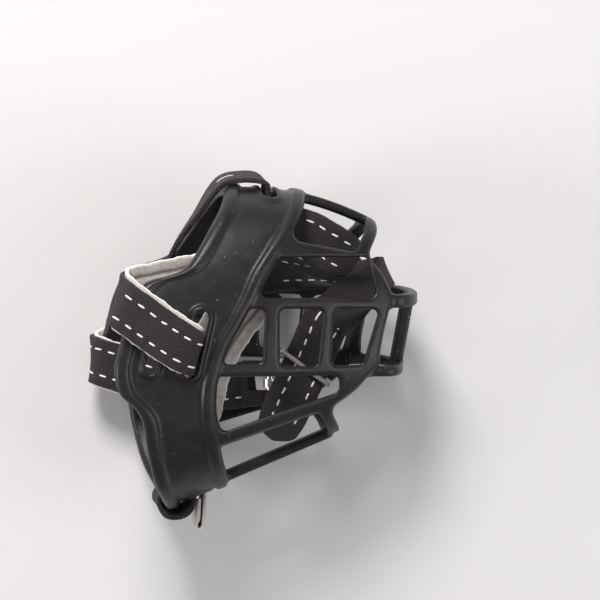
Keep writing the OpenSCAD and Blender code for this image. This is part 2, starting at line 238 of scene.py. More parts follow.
def steel_mat():
    m, nt, b = new_mat("steel_polished", 0.22, metallic=1.0)
    n = noise(nt, 500, 4, 0.6)
    tone = ramp(nt, [(0.3, (0.5, 0.46, 0.455)), (0.7, (0.62, 0.575, 0.57))])
    nt.links.new(n.outputs["Fac"], tone.inputs["Fac"])
    nt.links.new(tone.outputs["Color"], b.inputs["Base Color"])
    rr = ramp(nt, [(0.35, 0.3), (0.7, 0.42)])
    nt.links.new(noise(nt, 260, 3, 0.6).outputs["Fac"], rr.inputs["Fac"])
    nt.links.new(rr.outputs["Color"], b.inputs["Roughness"])
    nt.links.new(bump(nt, noise(nt, 700, 2).outputs["Fac"], 0.05, 0.00005), b.inputs["Normal"])
    return m


M_RUBBER = rubber_mat()
M_WEB = web_mat()
M_FELT = felt_mat()
M_THREAD = thread_mat()
M_STEEL = steel_mat()


def paint(obj, *mats):
    obj.data.materials.clear()
    for m in mats:
        obj.data.materials.append(m)


def mesh_obj(name, verts, faces, mats):
    """Smooth mesh from vertices in mm."""
    me = bpy.data.meshes.new(name)
    v = np.asarray(verts, dtype=np.float64) * MM
    me.from_pydata(v.tolist(), [], [list(map(int, f)) for f in faces])
    me.validate()
    me.polygons.foreach_set("use_smooth", [True] * len(me.polygons))
    ob = bpy.data.objects.new(name, me)
    bpy.context.scene.collection.objects.link(ob)
    paint(ob, *mats)
    return ob


# ---------------------------------------------------------------- basket field
def tube(x):
    """Middle height, half height and half width of the tube at x."""
    top, low = TOP_H - TOP_BEND * (x - TOP_X) ** 2, LOW_H + LOW_RISE * x
    width = HALF_W - SIDE_SLOPE * (x - SIDE_X) - SIDE_BEND * (x - SIDE_X) ** 2
    return (top + low) / 2, (top - low) / 2, width


def wall_field(x, y, z):
    """Signed distance, near enough, to the outer face of the tapering tube."""
    yc, h, w = tube(x)
    a, b = (y - yc) / h, z / w
    aa, bb = np.abs(a) + 1e-6, np.abs(b) + 1e-6
    rho = (aa**SQ + bb**SQ) ** (1 / SQ)
    ga, gb = np.sign(a) * (aa / rho) ** (SQ - 1), np.sign(b) * (bb / rho) ** (SQ - 1)
    # slopes along x of the top line, the bottom line and the half width
    st, sl = -2 * TOP_BEND * (x - TOP_X), LOW_RISE
    sw = -SIDE_SLOPE - 2 * SIDE_BEND * (x - SIDE_X)
    gx = ga * (-(st + sl) / 2 / h - a * (st - sl) / 2 / h) - gb * b * sw / w
    g = np.sqrt(gx**2 + (ga / h) ** 2 + (gb / w) ** 2)
    return (rho - 1) / g


def flat(x, y, z):
    """Where a point lies in the flat outlines, which are drawn as seen from the eye above the floor."""
    az = np.abs(z)
    k = 1 - az / EYE_H
    fx = EYE_X + (x + math.sin(LEAN) * az - EYE_X) / k
    fy = EYE_Y + (y - math.sin(ROLL) * az - EYE_Y) / k
    return fx, fy


def catmull(p, m):
    """Smooth curve through the points, with m steps between each two."""
    p = np.asarray(p, float)
    out = []
    n = len(p)
    for i in range(n - 1):
        a, b, c, d = p[max(i - 1, 0)], p[i], p[i + 1], p[min(i + 2, n - 1)]
        for j in range(m):
            u = j / m
            square = (2 * a - 5 * b + 4 * c - d) * u * u
            cube = (3 * b - a - 3 * c + d) * u**3
            out.append(0.5 * (2 * b + (c - a) * u + square + cube))
    out.append(p[-1])
    return np.array(out)


GX, GY = np.arange(-66, 66, OUTLINE_GRID), np.arange(-68, 68, OUTLINE_GRID)


class Outline:
    """Signed distance to a closed flat outline, held on a fine flat grid."""

    def __init__(self, pts, grow=0.0):
        p = np.asarray(pts, float)
        X, Y = np.meshgrid(GX, GY, indexing="ij")
        best = np.full(X.shape, 1e9)
        inside = np.zeros(X.shape, bool)
        for i in range(len(p)):
            a, b = p[i], p[(i + 1) % len(p)]
            d = b - a
            L = d @ d
            if L < 1e-9:
                continue
            t = np.clip(((X - a[0]) * d[0] + (Y - a[1]) * d[1]) / L, 0, 1)
            best = np.minimum(best, (X - a[0] - t * d[0]) ** 2 + (Y - a[1] - t * d[1]) ** 2)
            if a[1] != b[1]:
                spans = (a[1] > Y) != (b[1] > Y)
                inside ^= spans & (X < (b[0] - a[0]) * (Y - a[1]) / (b[1] - a[1]) + a[0])
        s = np.sqrt(best)
        self.f = np.where(inside, -s, s) - grow

    def __call__(self, x, y):
        u = np.clip((x - GX[0]) / OUTLINE_GRID, 0, len(GX) - 2.001)
        v = np.clip((y - GY[0]) / OUTLINE_GRID, 0, len(GY) - 2.001)
        i, j = u.astype(int), v.astype(int)
        u, v = u - i, v - j
        f = self.f
        low = f[i, j] * (1 - u) + f[i + 1, j] * u
        high = f[i, j + 1] * (1 - u) + f[i + 1, j + 1] * u
        return low * (1 - v) + high * v


def inward(pts, r):
    """The outline moved inward by r, so that growing it again by r rounds its corners."""
    p = np.asarray(pts, float)
    q = np.roll(p, -1, axis=0)
    area = (p[:, 0] * q[:, 1] - q[:, 0] * p[:, 1]).sum()
    if area > 0:
        p = p[::-1]
    out = []
    for i in range(len(p)):
        a, b, c = p[i - 1], p[i], p[(i + 1) % len(p)]
        u, v = (b - a) / np.linalg.norm(b - a), (c - b) / np.linalg.norm(c - b)
        n1, n2 = np.array([u[1], -u[0]]), np.array([v[1], -v[0]])
        out.append(b + r * (n1 + n2) / (1 + n1 @ n2))
    return out


# Flat outlines seen from the right side: rear rim, ridge between band and cage, front edge, windows.
REAR = [
    (-9.4, 56), (-10, 51), (-11.6, 45), (-15, 38.3), (-19.4, 30.2), (-22.6, 26), (-28, 23.6), (-34, 22),
    (-38, 18.5), (-41, 11), (-43.2, 1), (-44.8, -6.5), (-43, -14), (-38.2, -18.6), (-35.6, -23.5),
    (-34.2, -32), (-31.6, -43), (-28.4, -49.6), (-26, -56)]
RIDGE = [
    (11.4, 54), (11.2, 50), (10.4, 45), (7.6, 39), (3.4, 32.2), (-1.2, 24.6), (-4.4, 17), (-9, 8),
    (-13.4, 0), (-16.2, -9.6), (-17, -18.6), (-15.8, -30), (-12.6, -42.5), (-11, -52)]
FRONT = [
    (36, 56), (38.4, 42), (38.9, 38.2), (38, 35), (36.7, 31.6), (37.4, 28.6), (40.2, 25.4), (42.5, 21.4),
    (43.8, 17.6), (43.3, 13.4), (41.6, 6), (40.4, -1), (40, -5), (36.6, -8.6), (33.2, -12.4), (29, -15.8),
    (26, -18), (25.4, -20.6), (26.6, -23.2), (27.4, -26), (25, -29), (22, -52)]
W1 = [(15.2, 64), (12.2, 36.6), (13.6, 34.9), (31.9, 31.4), (35.1, 38.6), (33.6, 64)]
W2 = [(0.2, 16.8), (7.4, 29.6), (35.8, 29.9), (38.8, 18.8), (37.6, 16.7)]
W3A = [(-3.4, 13.3), (3.1, 13.2), (2.4, -4.2), (-9.6, -4.6), (-10.3, -2.6)]
W3B = [(7.8, 13.2), (21.9, 13.2), (20.2, -5.1), (8, -5.2)]
W3C = [(25.2, 13.2), (39.9, 13.1), (34.7, -4.7), (24.6, -5.2)]
W4 = [(-13, -8.6), (27.2, -8.2), (27.3, -13.4), (4.5, -21.2), (-10.4, -26.5), (-12.4, -20)]
W5 = [(-11.2, -31.4), (-9.4, -30.6), (20.8, -20.2), (23.9, -26.4), (23, -60), (-7.4, -60)]


def tape(line, w0, w1):
    """Closed outline of a ribbon that runs from w0 to w1 in x beside the line."""
    s = catmull(line, 4)
    return np.concatenate([s + [w0, 0], s[::-1] + [w1, 0]])


def rint(a, b, r):
    """Intersection with a rounded corner."""
    u, v = np.maximum(a + r, 0), np.maximum(b + r, 0)
    return np.minimum(-r, np.maximum(a, b)) + np.sqrt(u * u + v * v)


def runi(a, b, r):
    """Union with a filled corner."""
    return -rint(-a, -b, r)


def slab(d, lo, hi):
    """Between two depths below or above the outer face."""
    return np.maximum(d - hi, lo - d)


def slot_field(x, y, c, tilt, length):
    """Distance to the centre line of a slot."""
    t = math.radians(tilt)
    ax, ay = -math.sin(t), math.cos(t)
    px, py = x - c[0], y - c[1]
    s = np.clip(px * ax + py * ay, -length / 2, length / 2)
    return np.hypot(px - s * ax, py - s * ay)


def nose_band(x, y, z, x0, w, l, t, top, h, back):
    """Band round the nose, of thickness t, from top down by h.

    It has half width w, and reaches l ahead of x0 and back behind it."""
    a, b = l - t / 2, w - t / 2
    rho = np.sqrt(((x - x0) / a) ** 2 + (z / b) ** 2)
    g = np.sqrt(((x - x0) / a**2) ** 2 + (z / b**2) ** 2) / np.maximum(rho, 1e-6)
    arc = (rho - 1) / np.maximum(g, 1e-6)
    ring = np.abs(np.where(x > x0, arc, np.abs(z) - b)) - t / 2
    ring = np.maximum(ring, x0 - back - x)
    return rint(ring, np.abs(y - top + h / 2) - h / 2, 1.0)


def basket_field(x, y, z, o):
    """Signed distance, near enough, to the whole moulding. o holds its flat outlines."""
    d = wall_field(x, y, z)
    fx, fy = flat(x, y, z)
    region = o["behind"](fx, fy)
    f = rint(slab(d, -WALL, 0.0), region, 0.9)
    # raised beads along the two rims
    bead_r = np.maximum(o["rear"](fx, fy), region)
    f = runi(f, rint(slab(d, -WALL, RIM), bead_r, 1.7), 0.7)
    bead_f = o["ridge"](fx, fy)
    f = runi(f, rint(slab(d, -WALL, RIM), bead_f, 1.5), 0.7)
    # two slots in each cheek, with raised rings round them
    tilt, length = -12, 17.6
    front_slot = slot_field(fx, fy, (-19, 1.8), tilt, length)
    rear_slot = slot_field(fx, fy, (-31.6, 2.7), tilt, length)
    f = runi(f, rint(slab(d, -WALL, RIM), front_slot - 3.9, 1.0), 0.8)
    f = runi(f, rint(slab(d, -WALL, RIM - 0.1), rear_slot - 3.4, 0.9), 0.8)
    f = rint(f, 2.2 - front_slot, 0.7)
    f = rint(f, 1.8 - rear_slot, 0.7)
    # top and bottom centre slots: place in x, side in y, half width and half length of the hole, then the same
    # of its ring
    for cx, up, w, hl, rr, rl in ((3.0, 1, 2.2, 13.5, 4.0, 15.75), (-18.2, -1, 2.9, 10.5, 4.6, 12.5)):
        hole = np.hypot(x - cx, z - np.clip(z, -(hl - w), hl - w)) - w
        ring = np.hypot(x - cx, z - np.clip(z, -(rl - rr), rl - rr)) - rr
        side = -y * up
        f = runi(f, np.maximum(rint(slab(d, -WALL, 0.6), ring, 1.1), side), 0.8)
        f = rint(f, -np.maximum(hole, side), 0.7)
    # the cage of ribs in front of the band
    hole = o["w3a"](fx, fy)
    for k in ("w3b", "w3c", "w4"):
        hole = np.minimum(hole, o[k](fx, fy))
    edge = SPINE - np.abs(z)
    for k in ("w1", "w2", "w5"):
        hole = np.minimum(hole, rint(o[k](fx, fy), edge, 0.4))
    cage = rint(slab(d, -WALL, 0.35), np.maximum(o["ahead"](fx, fy), -hole), 1.25)
    f = runi(f, cage, 0.9)
    # nose guard: two bands round the nose and the bar between them
    upper = nose_band(x, y, z, 42.2, 21.6, 9.4, 3.2, 19.6, 4.2, 3.2)
    lower = nose_band(x, y, z, 40.0, 20.2, 7.2, 2.8, -3.2, 3.3, 7.0)
    bar_x = 45.3 + 3.9 * np.clip((y + 5.0) / 22.6, 0, 1)
    bar = rint(np.abs(x - bar_x) - 2.0, np.abs(z) - 2.1, 0.9)
    bar = np.maximum(bar, np.maximum(y - 17.5, -5.5 - y))
    guard = runi(runi(upper, bar, 1.4), lower, 1.4)
    return runi(f, guard, 1.6)


def make_basket():
    """The moulding as one skin, from the zero surface of its field."""
    step = BASKET_STEP
    o = {
        "behind": Outline(np.concatenate([catmull(REAR, 4), (catmull(RIDGE, 4) + [4.4, 0])[::-1]])),
        "rear": Outline(tape(REAR, -1.5, 4.8)),
        "ridge": Outline(tape(RIDGE, 0, 4.4)),
        "ahead": Outline(np.concatenate([catmull(RIDGE, 4) + [2.2, 0], catmull(FRONT, 4)[::-1]])),
    }
    windows = (("w1", W1, 2), ("w2", W2, 2), ("w3a", W3A, 1.8), ("w3b", W3B, 1.8), ("w3c", W3C, 1.8),
               ("w4", W4, 2.2), ("w5", W5, 1.8))
    for k, w, r in windows:
        o[k] = Outline(inward(w, r), grow=r)
    # the field is worked out near the wall and round the nose, and is simply far elsewhere
    near_wall, nose_x, far = 9, 34, 4.0
    xs = np.arange(-50, 56, step)
    ys = np.arange(-56, 60, step)
    zs = np.arange(-38.5 - (0.5 * step), 38.6, step)
    F = np.empty((len(xs), len(ys), len(zs)), np.float32)
    Y, Z = np.meshgrid(ys, zs, indexing="ij")
    for i, xv in enumerate(xs):
        X = np.full(Y.shape, xv)
        yc, h, w = tube(xv)
        rho = (np.abs((Y - yc) / h) ** SQ + np.abs(Z / w) ** SQ) ** (1 / SQ)
        near = (np.abs(rho - 1) * min(h, w) < near_wall) | (xv > nose_x)
        out = np.full(Y.shape, far)
        out[near] = basket_field(X[near], Y[near], Z[near], o)
        F[i] = out
    v, q = surface_net(F, (xs[0], ys[0], zs[0]), step)
    # settle each vertex on the surface with two small steps
    e = 0.05
    for _ in range(2):
        f0 = basket_field(v[:, 0], v[:, 1], v[:, 2], o)
        gx = basket_field(v[:, 0] + e, v[:, 1], v[:, 2], o) - f0
        gy = basket_field(v[:, 0], v[:, 1] + e, v[:, 2], o) - f0
        gz = basket_field(v[:, 0], v[:, 1], v[:, 2] + e, o) - f0
        g = np.stack([gx, gy, gz], 1) / e
        n2 = np.maximum((g * g).sum(1), 0.3)
        move = -(f0 / n2)[:, None] * g
        v += np.clip(move, -step * 0.5, step * 0.5)
    keep = biggest(len(v), q)
    idx = np.cumsum(keep) - 1
    q = q[keep[q[:, 0]]]
    return mesh_obj("basket", place(v[keep]), idx[q], [M_RUBBER])


def biggest(n, q):
    """Marks the vertices of the largest connected piece."""
    lab = np.arange(n)
    while True:
        m = lab[q].min(1)
        new = lab.copy()
        for k in range(4):
            np.minimum.at(new, q[:, k], m)
        new = new[new]
        if (new == lab).all():
            break
        lab = new
    best = np.bincount(lab).argmax()
    return lab == best


def surface_net(F, origin, step):
    """Vertices and quads of the zero surface of a field held on a grid."""
    s = F < 0
    c = np.zeros((F.shape[0] - 1, F.shape[1] - 1, F.shape[2] - 1), np.int8)
    for dx in (0, 1):
        for dy in (0, 1):
            for dz in (0, 1):
                c += s[dx:s.shape[0] - 1 + dx, dy:s.shape[1] - 1 + dy, dz:s.shape[2] - 1 + dz]
    act = (c > 0) & (c < 8)
    ijk = np.argwhere(act)
    index = np.full(act.shape, -1, np.int64)
    index[tuple(ijk.T)] = np.arange(len(ijk))
    acc = np.zeros((len(ijk), 3))
    cnt = np.zeros(len(ijk))
    corners = [(a, b, d) for a in (0, 1) for b in (0, 1) for d in (0, 1)]
    val = {k: F[ijk[:, 0] + k[0], ijk[:, 1] + k[1], ijk[:, 2] + k[2]] for k in corners}
    for a in corners:
        for ax in range(3):
            if a[ax]:
                continue
            b = tuple(1 if i == ax else a[i] for i in range(3))
            fa, fb = val[a], val[b]
            m = (fa < 0) != (fb < 0)
            t = np.where(m, fa / np.where(m, fa - fb, 1), 0)
            for i in range(3):
                acc[:, i] += np.where(m, a[i] + (t if i == ax else 0), 0)
            cnt += m
    v = (ijk + acc / cnt[:, None]) * step + np.array(origin)
    quads = []
    for ax in range(3):
        o1, o2 = [i for i in range(3) if i != ax]
        sl0 = [slice(1, -1)] * 3
        sl0[ax] = slice(0, F.shape[ax] - 1)
        sl1 = list(sl0)
        sl1[ax] = slice(1, F.shape[ax])
        a, b = s[tuple(sl0)], s[tuple(sl1)]
        e = np.argwhere(a != b)
        sign = a[tuple(e.T)]
        base = e.copy()
        base[:, o1] += 1
        base[:, o2] += 1
        q = []
        for d1, d2 in ((-1, -1), (0, -1), (0, 0), (-1, 0)):
            p = base.copy()
            p[:, o1] += d1
            p[:, o2] += d2
            q.append(index[tuple(p.T)])
        q = np.stack(q, 1)
        flip = sign if ax != 1 else ~sign
        q = np.where(flip[:, None], q, q[:, ::-1])
        quads.append(q)
    return v, np.concatenate(quads)


def place(p):
    """Lays the upright basket down the way it rests."""
    p = np.asarray(p, float)
    cb, sb, ca, sa = math.cos(ROLL), math.sin(ROLL), math.cos(LEAN), math.sin(LEAN)
    y = p[:, 1] * cb - p[:, 2] * sb
    z = p[:, 1] * sb + p[:, 2] * cb
    x = p[:, 0] * ca + z * sa
    z = -p[:, 0] * sa + z * ca
    return np.stack([x + SHIFT[0], y + SHIFT[1], z + MID_H], 1)


# ---------------------------------------------------------------- straps
# Each point: place x, y, z, across direction x, y, z, and share of the full width.
RIGHT = [
    (-9.5, -6.4, 63.6, 0.3, 0.95, 0, 0.93), (-14.4, -3.8, 64, 0.28, 0.96, 0, 0.93),
    (-17.2, -1.6, 65.6, 0.23, 0.97, 0, 0.93), (-18.4, -0.4, 69, 0.21, 0.98, 0, 0.93),
    (-18.2, -0.3, 72.7, 0.21, 0.98, 0, 0.93), (-18.6, -0.2, 76.2, 0.42, 0.9, 0, 0.95),
    (-22, 1.6, 78.2, 0.58, 0.81, 0, 0.98), (-29, 6.2, 78.6, 0.61, 0.79, 0, 0.98),
    (-34.8, 10.5, 78.7, 0.61, 0.79, 0, 0.98), (-39.2, 13.6, 77.6, 0.5, 0.87, 0, 0.98),
    (-41.4, 15.8, 72.4, 0.32, 0.95, 0, 1), (-40.2, 17.2, 67, 0.16, 0.99, 0, 1),
    (-36.6, 18, 63.2, -0.12, 0.99, 0, 1), (-24, 20.6, 59.8, -0.22, 0.97, 0, 1),
    (-9, 23.6, 53.6, -0.2, 0.97, 0.1, 1), (6, 25.6, 46.6, -0.05, 0.85, -0.5, 1),
    (18, 24.8, 40.6, 0.05, 0.5, -0.86, 1), (29, 23.4, 35, 0.05, 0.45, -0.88, 0.95),
    (37, 24.2, 31.8, -0.05, 0.84, -0.5, 0.82), (41.2, 24.8, 37, -0.4, 0.9, -0.12, 0.62),
    (38.6, 22.4, 43.8, -0.46, 0.88, -0.1, 0.72), (31, 16.8, 49.8, -0.8, 0.58, 0, 0.95),
    (26, 11.8, 51.6, -0.9, 0.45, 0, 1), (22.7, 9.4, 51.5, -0.905, 0.425, 0, 1),
    (19.4, 2.2, 50.2, -0.905, 0.425, 0, 1), (16.2, -5, 48.9, -0.905, 0.425, 0, 1),
    (13, -12.2, 47.6, -0.905, 0.425, 0, 1), (9.7, -19.4, 46.3, -0.905, 0.425, 0, 1),
    (6.9, -25.6, 44.6, -0.905, 0.425, 0, 0.85), (5.9, -28, 43.8, -0.905, 0.425, 0, 0.45)]
LEFT = [
    (-15, 10.2, 12, 0.2, 0.98, 0, 0.93), (-21, 9, 11.6, 0.2, 0.98, 0, 0.93),
    (-25.2, 8.6, 10, 0.2, 0.98, 0, 0.93), (-27.1, 8.2, 7, 0.2, 0.98, 0, 0.92),
    (-27.9, 7.9, 4.4, 0.2, 0.98, 0, 0.92), (-30.8, 6.3, 2.8, -0.1, 0.99, 0, 0.98),
    (-37, 3.6, 2, -0.37, 0.93, 0, 1), (-45, 0.3, 2.1, -0.37, 0.93, 0, 1),
    (-50.8, -2, 3.4, -0.2, 0.98, 0, 1), (-52.6, -3, 8.4, 0, 1, 0, 1),
    (-50.8, -4.2, 13.6, 0.2, 0.98, 0, 1), (-44, -6.4, 15.8, 0.38, 0.92, 0, 1),
    (-30, -11.2, 17, 0.3, 0.95, 0, 1), (-16, -12.6, 16.9, 0.05, 1, 0, 1), (-5, -11.6, 16.8, 0, 1, 0, 1),
    (0, -11, 16.8, 0, 1, 0, 1)]
FOREHEAD = [
    (31.6, 27.5, 43, 0.5, 0.86, 0, 0.9), (26, 31.4, 46, 0.56, 0.83, 0, 1),
    (17, 36.8, 46.2, 0.56, 0.82, 0.1, 1), (10.6, 40.4, 44, 0.45, 0.62, 0.6, 0.85),
    (6.4, 43, 41.6, 0.25, 0.2, 0.94, 0.9), (4, 46.4, 40.4, 0.14, -0.06, 0.99, 1),
    (3.5, 50.6, 40.3, 0.12, -0.09, 0.99, 1), (3.2, 53.2, 40.4, 0.12, -0.12, 0.98, 1),
    (0.2, 55, 40.8, 0.12, -0.2, 0.97, 1), (-4.6, 55.2, 41.2, 0.12, -0.19, 0.97, 1),
    (-9.8, 54.2, 41.4, 0.12, -0.18, 0.97, 1), (-13.6, 50.6, 41.3, 0.12, -0.15, 0.98, 1),
    (-18.6, 43, 41, 0.1, -0.05, 0.99, 1), (-25, 33.6, 40.5, 0.05, 0, 1, 1), (-27.6, 26, 39.6, 0, 0, 1, 1),
    (-26, 18, 38.4, 0, 0, 1, 1), (-20, 11, 37, 0.1, 0.1, 0.98, 1), (-12, 7, 35, 0.2, 0.3, 0.93, 1)]
THROAT = [
    (-23, -41.4, 36.2, 0.12, -0.08, 0.99, 1), (-27.4, -43, 36.6, 0.12, -0.08, 0.99, 1),
    (-31.4, -45.2, 36.8, 0.14, -0.1, 0.99, 1), (-31.8, -48.8, 36.8, 0.17, -0.14, 0.97, 1),
    (-29.2, -51.6, 36.4, 0.17, -0.23, 0.96, 1), (-25.4, -52.1, 36, 0.17, -0.24, 0.95, 1),
    (-21.8, -50.9, 35.4, 0.15, -0.17, 0.97, 1), (-19.7, -47.6, 34.8, 0.12, -0.08, 0.99, 1),
    (-19.4, -42, 34.8, 0.12, -0.06, 0.99, 1), (-19.4, -36, 36.4, -0.2, -0.06, 0.96, 1),
    (-19, -29, 39.4, -0.6, -0.1, 0.75, 1), (-18, -21, 42.6, -0.88, 0, 0.4, 1),
    (-16.4, -12, 45, -0.98, 0.15, 0.1, 1), (-13.6, -2.6, 46, -0.9, 0.4, 0, 1),
    (-7.4, 8, 44.8, -0.84, 0.54, 0, 1), (-1.4, 15.4, 41, -0.82, 0.58, 0, 1),
    (4.4, 21, 35, -0.8, 0.6, 0, 0.8)]
LOW_FOLD = [
    (-18.9, -47.6, 35, 0.12, -0.08, 0.99, 1), (-19.1, -51.4, 35.3, 0.12, -0.08, 0.99, 1),
    (-19.3, -55, 35.6, 0.12, -0.08, 0.99, 1), (-18.9, -56.3, 35.7, 0.12, -0.08, 0.99, 1),
    (-18, -56.8, 35.7, 0.12, -0.08, 0.99, 1), (-17.1, -56.3, 35.7, 0.12, -0.08, 0.99, 1),
    (-16.7, -55, 35.6, 0.12, -0.08, 0.99, 1), (-16.4, -51, 35.3, 0.12, -0.08, 0.99, 1),
    (-16.2, -46, 34.8, 0.12, -0.08, 0.99, 1), (-16.3, -41.6, 34.6, 0.12, -0.06, 0.99, 1)]


def unit(a):
    return a / np.maximum(np.linalg.norm(a, axis=-1, keepdims=True), 1e-9)


class Path:
    """Centre line, across direction and face direction of a strap, at even steps of length."""

    def __init__(self, pts, step=0.5):
        q = catmull(pts, 24)
        p = q[:, :3]
        s = np.concatenate([[0], np.cumsum(np.linalg.norm(np.diff(p, axis=0), axis=1))])
        self.L = s[-1]
        n = int(self.L / step) + 1
        self.s = np.linspace(0, self.L, n)
        q = np.stack([np.interp(self.s, s, q[:, i]) for i in range(7)], 1)
        self.p = q[:, :3] + [SHIFT[0], SHIFT[1], 0]
        t = unit(np.gradient(self.p, axis=0))
        a = q[:, 3:6]
        self.a = unit(a - (a * t).sum(1, keepdims=True) * t)
        self.k = unit(np.cross(t, self.a))
        self.w = q[:, 6]

    def at(self, s):
        """Place, across direction and face direction at the lengths s."""
        p, a, k = (np.stack([np.interp(s, self.s, v[:, i]) for i in range(3)], -1)
                   for v in (self.p, self.a, self.k))
        return p, unit(a), unit(k)


def set_uv(ob, uvs):
    """One UV pair per vertex, in mm."""
    me = ob.data
    lay = me.uv_layers.new(name="UVMap")
    vert_of = np.array([l.vertex_index for l in me.loops])
    lay.data.foreach_set("uv", np.asarray(uvs)[vert_of].astype(np.float32).ravel())


def tube_faces(n, m, base=0):
    """Faces of a closed tube of n rings with m points each, with both ends closed."""
    faces = []
    for i in range(n - 1):
        a, b = base + i * m, base + (i + 1) * m
        for j in range(m):
            k = (j + 1) % m
            faces.append((a + j, a + k, b + k, b + j))
    faces.append(tuple(base + j for j in range(m - 1, -1, -1)))
    faces.append(tuple(base + (n - 1) * m + j for j in range(m)))
    return faces


def sweep(name, path, profile, mats, s0=0.0, s1=None, round_ends=(False, False),
          wider=0.0, aside=0.0, wob=0.0):
    """Sweeps a closed profile of (across share -1..1, height) points. UV: mm along, mm across.

    wider and aside are added to the half width and to the place across; wob is the waviness of the edges."""
    end_r, least_w = 4.2, 0.6
    s1 = path.L if s1 is None else s1
    n = max(int((s1 - s0) / STRAP_STEP), 8)
    ss = np.linspace(s0, s1, n)
    w = np.interp(ss, path.s, path.w) * WEB_W / 2
    for rounded, d in zip(round_ends, (ss - s0, s1 - ss)):
        if rounded:
            cut = np.where(d < end_r, end_r - np.sqrt(np.maximum(end_r**2 - (end_r - d) ** 2, 0)), 0)
            w = np.maximum(w - cut, least_w)
    phase = rng.uniform(0, 6)
    share, height = np.array(profile).T
    m = len(profile)
    verts, uvs = [], []
    for i, s in enumerate(ss):
        wave = wob * (math.sin(s * 0.9 + phase) + 0.6 * math.sin(s * 2.3 + 1.7 * phase))
        across = share * (w[i] + wider + wave) + aside
        p, a, k = path.at(np.full(m, s))
        verts.append(p + a * across[:, None] + k * height[:, None])
        uvs.append(np.stack([np.full(m, s), across], 1))
    ob = mesh_obj(name, np.concatenate(verts), tube_faces(n, m), mats)
    set_uv(ob, np.concatenate(uvs))
    return ob


def web_profile(h0, h1):
    """Flat tape with a slightly thicker, rounded selvedge."""
    mid, hh = (h0 + h1) / 2, abs(h1 - h0) / 2
    top = []
    for x in np.linspace(-0.955, 0.955, 9):
        bulge = 0.06 * math.exp(-((abs(x) - 0.9) / 0.05) ** 2)
        top.append((x, mid + hh + bulge))
    right = [(0.985, mid + hh * 0.75), (1.0, mid), (0.985, mid - hh * 0.75)]
    bot = [(x, 2 * mid - h) for x, h in top[::-1]]
    left = [(-0.985, mid - hh * 0.75), (-1.0, mid), (-0.985, mid + hh * 0.75)]
    return top + right + bot + left


def stitches(name, path, rows, off, s0, s1, length=2.25, pitch=4.3):
    """White dashes lying in the surface at off along the face direction, as small flattened capsules."""
    ring, r = 6, 0.31
    stations = [(-0.5, 0.25), (-0.44, 0.8), (-0.2, 1.0), (0.2, 1.0), (0.44, 0.8), (0.5, 0.25)]
    sign = 1 if off > 0 else -1
    verts, faces = [], []
    for across in rows:
        s = s0 + rng.uniform(0.5, pitch)
        while s + length < s1:
            base = len(verts)
            ln = length * rng.uniform(0.93, 1.05)
            slant = rng.uniform(-0.12, 0.12)
            for u, share in stations:
                p, a, k = (v[0] for v in path.at(np.array([s + ln / 2 + u * ln])))
                p = p + a * (across + slant * u * 2)
                dip = 0.12 * (1 - share)
                for j in range(ring):
                    an = 2 * math.pi * j / ring
                    rise = sign * (r * 0.55 * share * math.sin(an) - dip)
                    verts.append(p + a * (r * share * math.cos(an)) + k * (off + rise))
            faces += tube_faces(len(stations), ring, base)
            s += pitch * rng.uniform(0.97, 1.03)
    ob = mesh_obj(name, verts, faces, [M_THREAD])
    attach(ob, "muzzle")
    return ob


def web_strap(name, path, h0, h1, node, runs, s0=0.0, rows=ROWS, ends=(False, False)):
    """Webbing between the heights h0 and h1. runs: for each face, the stretches that carry stitches."""
    ob = sweep(name, path, web_profile(h0, h1), [M_WEB], s0, round_ends=ends, wob=0.05)
    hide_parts(node)
    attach(ob, "muzzle")
    proud = 0.05
    for face, stretches in runs.items():
        h = (max(h0, h1) + proud) if face > 0 else (min(h0, h1) - proud)
        for n, (a, b) in enumerate(stretches):
            stitches("%s_stitch_%s%d" % (name, "a" if face > 0 else "b", n), path, rows, h, a, b)


def pad_strap(name, path, h0, h1, node, s0=0.0, s1=None, side=1, wider=0.8, pale=1.0, aside=0.0):
    """Padding, crowned between its two seams on the given side, with pale cut edges."""
    lo, hi = min(h0, h1), max(h0, h1)
    t = hi - lo
    half_face = (-0.95, -0.86, -0.74, -0.62, -0.56, -SEAM, -0.5, -0.44, -0.3, -0.1)
    profile = [(x, 1.0) for x in half_face] + [(-x, 1.0) for x in reversed(half_face)]
    profile += [(0.985, 0.7), (1.0, 0.35), (0.99, 0.0)]
    profile += [(x, 0.0) for x in np.linspace(0.95, -0.95, 7)]
    profile += [(-0.99, 0.0), (-1.0, 0.35), (-0.985, 0.7)]

    def height(x, h):
        if h < 1.0:
            return t * h
        groove = math.exp(-((abs(x) - SEAM) / 0.06) ** 2)
        crown = 0.1 * math.cos(abs(x) * math.pi / 2)
        return t * (1.0 + crown - 0.34 * groove)

    def tone(x):
        if abs(x) >= 0.985:
            return pale
        if abs(x) > 0.93:
            return 0.35 * pale
        return -1.0 if abs(abs(x) - SEAM) < 0.04 else 0.0

    shaped = [(x, lo + height(x, h) if side > 0 else hi - height(x, h)) for x, h in profile]
    ob = sweep(name, path, shaped, [M_FELT], s0, s1, wider=wider, aside=aside, wob=0.12)
    rings = len(ob.data.vertices) // len(shaped)
    edge = ob.data.attributes.new("edge", "FLOAT", "POINT")
    edge.data.foreach_set("value", np.tile([tone(x) for x, _ in shaped], rings).astype(np.float32))
    if node:
        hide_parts(node)
    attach(ob, "muzzle")


